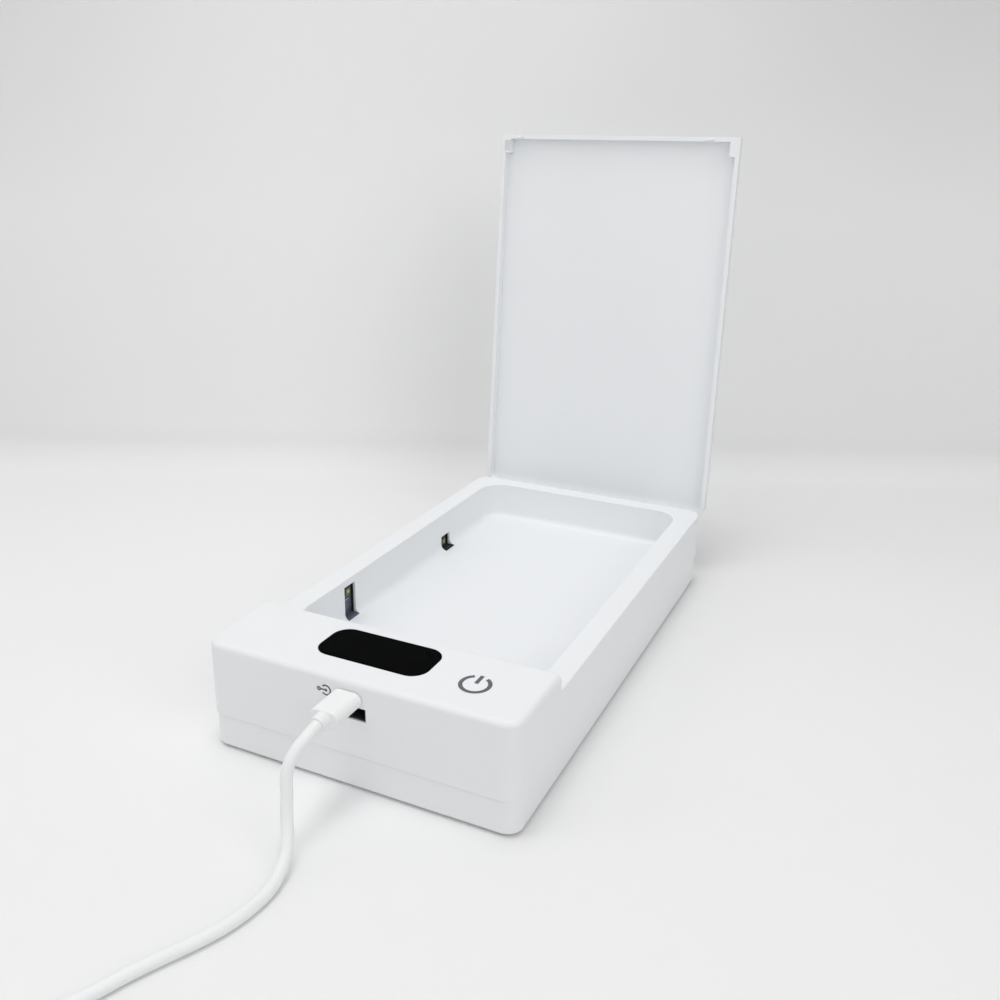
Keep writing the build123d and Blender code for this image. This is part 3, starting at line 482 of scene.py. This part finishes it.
def makeSlotLining(s):
    # the front slot's sill takes the lamp board's shade
    material = makePlastic("slotLining", plastics["sealBlack"])
    tree = material.node_tree
    shader = tree.nodes["Principled BSDF"]
    dark = shader.inputs["Base Color"].links[0].from_socket
    apart = addNode(tree, "ShaderNodeSeparateXYZ", {0: objectPlace(tree)})
    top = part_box("slot_liners_left")[0].z + s["height"] * mm
    low = calculate(tree, "LESS_THAN", apart.outputs["Z"], top)
    fore = calculate(tree, "LESS_THAN", apart.outputs["Y"], s["rear"] * mm)
    mask = calculate(tree, "MULTIPLY", low, fore)
    feed(tree, shader.inputs["Base Color"], blendColours(tree, mask, dark, shadeOf(*s["colour"])))
    return material


materials = {name: makePlastic(name, s) for name, s in plastics.items()}
materials["slotLining"] = makeSlotLining(sill)
materials.update({name: makeMetal(name, s) for name, s in metals.items()})
materials.update({name: makeBoard(name, s) for name, s in boards.items()})

finishOfSlot = {
    "white_shell": "shellPlastic", "window_black": "windowBlack", "display_dark": "displayDark",
    "print_grey": "printedInk", "pad_rubber": "padRubber", "foot_rubber": "footRubber",
    "steel": "zincSteel", "magnet_nickel": "magnetCoat", "socket_metal": "socketSteel",
    "board_green": "boardGreen", "chip_black": "chipBlack", "lamp_board": "boardBlue",
    "lamp_amber": "lampCeramic", "lead_black": "leadBlack", "insert_black": "sealBlack",
    "plug_white": "plugPlastic", "cable_white": "cableJacket",
}
for part in frame["record"]["subparts"]:
    finish = materials[finishOfSlot[part["material_slot"]]]
    if part["node"].startswith("slot_liners"):
        finish = materials["slotLining"]
    holders = nodes[part["node"]].data.materials
    holders.clear()
    holders.append(finish)
cablePiece.data.materials.append(materials["cableJacket"])
print("materials made:", len(materials))


def makeBlockTree():
    # a block on each point
    tree = bpy.data.node_groups.new("blocksOnPoints", "GeometryNodeTree")
    sockets = {}
    for title, kind in (("Geometry", "Geometry"), ("Size", "Vector"), ("Turn", "Rotation"),
                        ("Finish", "Material")):
        socket = tree.interface.new_socket(title, in_out="INPUT", socket_type="NodeSocket" + kind)
        sockets[title] = socket.identifier
    tree.interface.new_socket("Geometry", in_out="OUTPUT", socket_type="NodeSocketGeometry")
    given, result = addNode(tree, "NodeGroupInput").outputs, addNode(tree, "NodeGroupOutput")
    block = addNode(tree, "GeometryNodeMeshCube", {"Size": given["Size"]})
    spread = addNode(tree, "GeometryNodeInstanceOnPoints", {
        "Points": given["Geometry"], "Instance": block.outputs[0], "Rotation": given["Turn"]})
    real = addNode(tree, "GeometryNodeRealizeInstances", {"Geometry": spread.outputs[0]})
    painted = addNode(tree, "GeometryNodeSetMaterial", {
        "Geometry": real.outputs[0], "Material": given["Finish"]})
    feed(tree, result.inputs[0], painted.outputs[0])
    return tree, sockets


blockTree, blockSockets = makeBlockTree()


def makeBlocks(name, places, size, chamfer, finish, turn=0.0):
    seeds = bpy.data.meshes.new(name + "Places")
    seeds.from_pydata([tuple(place) for place in places], [], [])
    carrier = linkObject(bpy.data.objects.new(name + "Places", seeds))
    rule = carrier.modifiers.new("blocks", "NODES")
    rule.node_group = blockTree
    rule[blockSockets["Size"]] = [side * mm for side in size]
    rule[blockSockets["Turn"]] = (0, 0, turn)
    rule[blockSockets["Finish"]] = materials[finish]
    ready = carrier.evaluated_get(bpy.context.evaluated_depsgraph_get())
    mesh = bpy.data.meshes.new_from_object(ready)
    bpy.data.objects.remove(carrier)
    mesh.name = name
    solid = bmesh.new()
    solid.from_mesh(mesh)
    bmesh.ops.bevel(solid, geom=solid.edges[:], offset=chamfer * mm, segments=1, affect="EDGES")
    solid.to_mesh(mesh)
    solid.free()
    mesh.materials.clear()
    mesh.materials.append(materials[finish])
    piece = linkObject(bpy.data.objects.new(name, mesh))
    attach(piece, "base")
    return piece


lampPackage = {
    # square layers: width, lower and upper side over the board
    "base": {"width": 3.5, "low": 0, "high": 0.95, "chamfer": 0.12},
    "cup": {"width": 2.5, "low": 0.5, "high": 1.12, "chamfer": 0.1},
    "die": {"width": 1.0, "low": 0.7, "high": 1.28, "chamfer": 0.05},
    "pad": (0.12, 3.3, 0.38),
    "padChamfer": 0.04,
    "padsBelow": (0.55, 2.1),    # under the front lamp's lower edge
    "padAbove": 0.75,            # over the rear lamp
    "resistor": (0.4, 0.55, 0.5),
    "resistorChamfer": 0.06,
    "resistorsBelow": 1.3,       # under the front lamp
    "resistorStep": 1.1,
}


def makeLampPackages(side, s):
    low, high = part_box("uv_lamps_" + side)
    boardX, out = (low.x, 1) if side == "left" else (high.x, -1)   # out is towards the chamber
    half = s["base"]["width"] / 2 * mm
    front = Vector((boardX, low.y + half, high.z - half))
    rear = Vector((boardX, high.y - half, low.z + half))

    def stack(title, layer, finish):
        shift = Vector((out * (layer["low"] + layer["high"]) / 2 * mm, 0, 0))
        size = (layer["high"] - layer["low"], layer["width"], layer["width"])
        return makeBlocks(title + side.title(), [front + shift, rear + shift], size,
                          layer["chamfer"], finish)

    base = stack("lampBase", s["base"], "lampCeramic")
    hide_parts("uv_lamps_" + side)
    stack("lampCup", s["cup"], "lampCup")
    stack("lampDie", s["die"], "solderTin")
    reach = out * s["pad"][0] / 2 * mm
    pads = [front + Vector((reach, 0, -half - below * mm)) for below in s["padsBelow"]]
    pads.append(rear + Vector((reach, 0, half + s["padAbove"] * mm)))
    makeBlocks("lampPads" + side.title(), pads, s["pad"], s["padChamfer"], "solderTin")
    reach = out * s["resistor"][0] / 2 * mm
    row = [front + Vector((reach, step * s["resistorStep"] * mm, -half - s["resistorsBelow"] * mm))
           for step in (-1, 0, 1)]
    makeBlocks("lampResistors" + side.title(), row, s["resistor"], s["resistorChamfer"],
               "chipBlack")


for side in ("left", "right"):
    makeLampPackages(side, lampPackage)
print("lamp packages made")

chipLegs = {
    # chip's middle across the box and behind the board's front edge, legs on a side, chip's depth
    "chips": [(-28.0, 14.0, 8, 12.0), (-9.0, 13.0, 6, 8.0)],
    "pitch": 1.27,
    "leg": (0.42, 1.3, 0.5),     # half of its length stands past the chip's side
    "chamfer": 0.08,
}


def makeChipLegs(s):
    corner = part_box("main_board")[0]
    places = []
    for x, behind, count, depth in s["chips"]:
        for sign in (-1, 1):
            y = corner.y + (behind + sign * depth / 2) * mm
            for k in range(count):
                step = (k - (count - 1) / 2) * s["pitch"]
                places.append(((x + step) * mm, y, corner.z - s["leg"][2] / 2 * mm))
    makeBlocks("chipLegs", places, s["leg"], s["chamfer"], "solderTin")


makeChipLegs(chipLegs)

tongueContacts = {
    "size": (8.0, 0.9, 0.1),
    "chamfer": 0.02,
    "pitch": 1.9,
    "count": 4,
    "towardsTip": 1.6,           # from the tongue's middle
}


def makeTongueContacts(s):
    neck, tongue = (sum(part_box(name), Vector()) / 2 for name in ("far_plug_neck", "far_plug_tongue"))
    along = tongue - neck
    along.z = 0
    along.normalize()
    across = Vector((-along.y, along.x, 0))
    middle = tongue + along * s["towardsTip"] * mm
    middle.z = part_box("far_plug_tongue")[1].z
    places = [middle + across * (k - (s["count"] - 1) / 2) * s["pitch"] * mm
              for k in range(s["count"])]
    makeBlocks("tongueContacts", places, s["size"], s["chamfer"], "goldPlate",
               math.atan2(along.y, along.x))


makeTongueContacts(tongueContacts)
print("chip legs and plug contacts made")

sweepPaper = {
    "turn": 24.6,                # degrees that the paper is turned to the box
    "front": 3.4,                # metres from the box's middle to the near edge
    "bend": 0.195,               # and to the bend behind the box
    "bendRadius": 0.02,
    "bendSteps": 16,
    "width": 6.0,
    "height": 3.0,
    "roughness": 0.9,
    "shine": 0.2,
    "floorShade": 241,           # display values
    # painted light and shade: the floor darker further back, the wall lighter than the floor, and
    # darker again at its top
    "paintedFarShade": 236,
    "far": (-0.05, 0.22),        # how far back the floor starts to change to the painted far shade, and is done
    "paintedWallLight": 247,
    "blendHeight": 0.03,
    "paintedTopShade": 241,
    "topHeight": (0.16, 0.3),
    "middle": -0.06,             # metres to the side of the box's middle, the middle of the painted side shade
    "paintedSideShade": (0.05, 0.32),        # painted shade: the paper darkens from this far to either side
    "floorPaintedSideShade": 0.03,           # how much darker the painted side shade makes it there
    "wallPaintedSideShade": 0.08,
    "topPaintedSideShade": 0.2,
}


def makeSweepMesh(s, ahead, side):
    profile = [(-s["front"], 0.0)]
    for k in range(s["bendSteps"] + 1):
        angle = math.pi / 2 * k / s["bendSteps"]
        profile.append((s["bend"] + s["bendRadius"] * math.sin(angle),
                        s["bendRadius"] * (1 - math.cos(angle))))
    profile.append((s["bend"] + s["bendRadius"], s["height"]))
    solid = bmesh.new()
    rows = []
    for along, height in profile:
        middle = ahead * along + Vector((0, 0, height))
        rows.append([solid.verts.new(middle + side * sign * s["width"] / 2) for sign in (-1, 1)])
    for low, high in zip(rows, rows[1:]):
        solid.faces.new((low[0], low[1], high[1], high[0])).smooth = True
    mesh = bpy.data.meshes.new("sweep")
    solid.to_mesh(mesh)
    solid.free()
    return mesh


def makeSweepFinish(s, ahead, side):
    fixed = {"Roughness": s["roughness"], "Specular IOR Level": s["shine"]}
    material, tree, shader = startMaterial("sweepPaper", fixed)
    place = objectPlace(tree)
    height = addNode(tree, "ShaderNodeSeparateXYZ", {0: place}).outputs["Z"]
    back, across = (addNode(tree, "ShaderNodeVectorMath", {0: place, 1: heading},
                            operation="DOT_PRODUCT").outputs["Value"] for heading in (ahead, side))
    rise = remap(tree, height, (0, s["blendHeight"]))
    top = remap(tree, height, s["topHeight"])
    # painted shade further back, painted light on the wall and painted shade at its top
    far = remap(tree, back, s["far"])
    paper = blendColours(tree, far, shadeOf(s["floorShade"]), shadeOf(s["paintedFarShade"]))
    paper = blendColours(tree, rise, paper, shadeOf(s["paintedWallLight"]))
    paper = blendColours(tree, top, paper, shadeOf(s["paintedTopShade"]))
    # painted side shade: darker away from the middle, more on the wall and most at the top
    aside = calculate(tree, "ABSOLUTE", calculate(tree, "SUBTRACT", across, s["middle"]))
    paintedSideShade = remap(tree, aside, s["paintedSideShade"], curve="SMOOTHSTEP")
    depth = remap(tree, rise, toRange=(s["floorPaintedSideShade"], s["wallPaintedSideShade"]))
    depth = remap(tree, top, toRange=(depth, s["topPaintedSideShade"]))
    kept = calculate(tree, "SUBTRACT", 1.0, calculate(tree, "MULTIPLY", paintedSideShade, depth))
    feed(tree, shader.inputs["Base Color"], scaleColour(tree, paper, kept))
    # the paper is clear from behind, so that it never hides the box
    clear = addNode(tree, "ShaderNodeBsdfTransparent")
    behind = addNode(tree, "ShaderNodeNewGeometry").outputs["Backfacing"]
    either = addNode(tree, "ShaderNodeMixShader", {
        0: behind, 1: shader.outputs[0], 2: clear.outputs[0]})
    feed(tree, tree.nodes["Material Output"].inputs["Surface"], either.outputs[0])
    return material


def makeStage(s):
    turn = math.radians(s["turn"])
    ahead = Vector((-math.sin(turn), math.cos(turn), 0))
    side = Vector((math.cos(turn), math.sin(turn), 0))
    mesh = makeSweepMesh(s, ahead, side)
    mesh.materials.append(makeSweepFinish(s, ahead, side))
    sweep = linkObject(bpy.data.objects.new("sweep", mesh))


lighting = {
    "world": 0.245,
    "seenWorld": 0.8,            # its strength where it is looked at or mirrored
    # metres and watts
    "lamps": {
        "key": {"place": (-0.2, -0.4, 1.15), "target": (0, 0, 0.05), "size": 0.6, "power": 1.77},
        "overhead": {"place": (0.0, -0.1, 1.6), "target": (0, 0, 0.0), "size": 0.5, "power": 5.2},
        "fillLeft": {"place": (-0.9, -0.5, 0.7), "target": (0, 0, 0.05), "size": 1.0,
                     "power": 2.35},
        "fillRight": {"place": (0.9, -0.5, 0.7), "target": (0, 0, 0.05), "size": 1.0,
                      "power": 4.05},
        "fillFront": {"place": (-0.1, -1.2, 0.6), "target": (0, 0, 0.05), "size": 1.0,
                      "power": 1.48},
    },
}


def makeLight(name, s):
    data = bpy.data.lights.new(name, "AREA")
    data.shape = "DISK"
    data.size = s["size"]
    data.energy = s["power"]
    light = bpy.data.objects.new(name, data)
    light.location = s["place"]
    light.rotation_mode = "QUATERNION"
    aim = Vector(s["target"]) - Vector(s["place"])
    light.rotation_quaternion = aim.to_track_quat("-Z", "Y")
    linkObject(light)


def makeLighting(s):
    world = bpy.data.worlds.new("studio")
    world.use_nodes = True
    tree = world.node_tree
    rays = addNode(tree, "ShaderNodeLightPath").outputs
    seen = calculate(tree, "MAXIMUM", rays["Is Camera Ray"], rays["Is Glossy Ray"])
    seen = calculate(tree, "MAXIMUM", seen, rays["Is Transmission Ray"])
    background = tree.nodes["Background"]
    background.inputs["Color"].default_value = (1, 1, 1, 1)
    feed(tree, background.inputs["Strength"], remap(tree, seen, toRange=(s["world"], s["seenWorld"])))
    bpy.context.scene.world = world
    for name, lamp in s["lamps"].items():
        makeLight(name, lamp)


makeStage(sweepPaper)
makeLighting(lighting)
bpy.context.scene.view_settings.view_transform = "Standard"
print("stage and light set")

bpy.context.view_layer.update()
